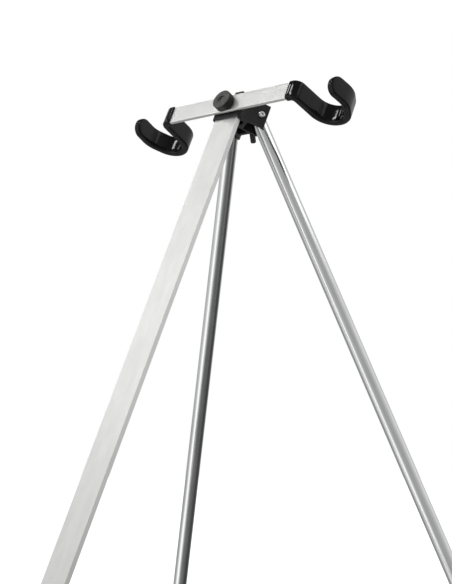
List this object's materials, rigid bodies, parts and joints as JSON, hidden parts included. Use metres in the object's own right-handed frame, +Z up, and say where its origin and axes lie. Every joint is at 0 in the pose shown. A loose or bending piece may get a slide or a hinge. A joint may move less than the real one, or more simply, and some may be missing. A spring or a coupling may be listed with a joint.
{
  "type": "surf rod tripod",
  "caption": "Folding stand for surf fishing rods: a flat front leg, telescopic rear legs, a swivelling crossbar with sleeved U-shaped rod rests, and a lower bar with butt cups.",
  "frame": {"origin": "on the ground, under the middle of the open stand's bounding box", "axes": "+Z up, +Y from the flat front leg towards the rear legs, +X along the crossbar to the right as seen from behind the front leg's face looking along +Y"},
  "size_m": [0.86, 0.813, 1.1203],
  "materials": {
    "brushed_aluminium": "brushed along its length",
    "polished_tube": "bright drawn tube",
    "steel": "zinc-plated",
    "dark_steel": "black oxide",
    "hub_plastic": "satin moulded",
    "knob_plastic": "satin moulded",
    "sleeve_pvc": "dipped, glossy",
    "rubber": "matt moulded",
    "nylon": "natural"
  },
  "bodies": {
    "root": {"hub": "hub_plastic", "front_leg": "brushed_aluminium", "leg_screw_right": "dark_steel", "leg_screw_left": "dark_steel", "clamp_stud": "dark_steel", "friction_washer": "nylon", "front_foot": "rubber", "ballast_stud": "steel", "ballast_cap": "rubber", "hinge_screw_right": "steel", "hinge_nut_right": "steel", "hinge_screw_left": "steel", "hinge_nut_left": "steel"},
    "crossbar": {"crossbar": "brushed_aluminium", "rest_sleeve_right": "sleeve_pvc", "rest_sleeve_left": "sleeve_pvc"},
    "clamp_knob": {"clamp_knob": "knob_plastic", "clamp_knob_nut": "dark_steel"},
    "rear_leg_right": {"upper_tube_right": "polished_tube", "hinge_plug_right": "hub_plastic", "lock_collar_right": "hub_plastic"},
    "rear_leg_left": {"upper_tube_left": "polished_tube", "hinge_plug_left": "hub_plastic", "lock_collar_left": "hub_plastic"},
    "lower_leg_right": {"lower_tube_right": "polished_tube", "lower_tube_plug_right": "nylon", "rear_foot_right": "rubber"},
    "lower_leg_left": {"lower_tube_left": "polished_tube", "lower_tube_plug_left": "nylon", "rear_foot_left": "rubber"},
    "lock_knob_right": {"lock_knob_right": "knob_plastic", "lock_stud_right": "steel"},
    "lock_knob_left": {"lock_knob_left": "knob_plastic", "lock_stud_left": "steel"},
    "butt_rest": {"butt_bracket": "hub_plastic", "butt_bar": "brushed_aluminium", "bracket_screw_right": "steel", "bracket_screw_left": "steel", "butt_cup_right": "hub_plastic", "butt_cup_left": "hub_plastic", "cup_screw_right_lower": "steel", "cup_screw_right_upper": "steel", "cup_screw_left_lower": "steel", "cup_screw_left_upper": "steel"},
    "butt_knob": {"butt_knob": "knob_plastic", "butt_stud": "steel"}
  },
  "joints": [
    {"name": "crossbar_swivel", "type": "hinge", "parent": "root", "child": "crossbar", "pos_m": [0, 0.12907, 1.1], "axis": [0, -0.8973, 0.4415], "range_deg": [-60, 60]},
    {"name": "clamp_knob_turn", "type": "hinge", "parent": "root", "child": "clamp_knob", "pos_m": [0, 0.12907, 1.1], "axis": [0, -0.8973, 0.4415], "range_deg": [0, 270]},
    {"name": "right_leg_fold", "type": "hinge", "parent": "root", "child": "rear_leg_right", "pos_m": [0.02265, 0.16617, 1.08174], "axis": [-0.866, 0.4486, -0.2208], "range_deg": [0, 42.1]},
    {"name": "left_leg_fold", "type": "hinge", "parent": "root", "child": "rear_leg_left", "pos_m": [-0.02265, 0.16617, 1.08174], "axis": [-0.866, -0.4486, 0.2208], "range_deg": [0, 42.1]},
    {"name": "right_leg_slide", "type": "slide", "parent": "rear_leg_right", "child": "lower_leg_right", "axis": [0.3352, 0.1934, -0.9221], "range_m": [-0.38, 0.08]},
    {"name": "left_leg_slide", "type": "slide", "parent": "rear_leg_left", "child": "lower_leg_left", "axis": [-0.3352, 0.1934, -0.9221], "range_m": [-0.38, 0.08]},
    {"name": "right_lock_turn", "type": "hinge", "parent": "rear_leg_right", "child": "lock_knob_right", "pos_m": [0.27375, 0.32682, 0.42317], "axis": [0.371, 0.8725, 0.3178], "range_deg": [0, 270]},
    {"name": "left_lock_turn", "type": "hinge", "parent": "rear_leg_left", "child": "lock_knob_left", "pos_m": [-0.27375, 0.32682, 0.42317], "axis": [-0.371, 0.8725, 0.3178], "range_deg": [0, 270]},
    {"name": "butt_rest_slide", "type": "slide", "parent": "root", "child": "butt_rest", "axis": [0, 0.4415, 0.8973], "range_m": [-0.25, 0.45]},
    {"name": "butt_knob_turn", "type": "hinge", "parent": "butt_rest", "child": "butt_knob", "pos_m": [0, -0.24621, 0.33733], "axis": [0, 0.8973, -0.4415], "range_deg": [0, 270]}
  ]
}
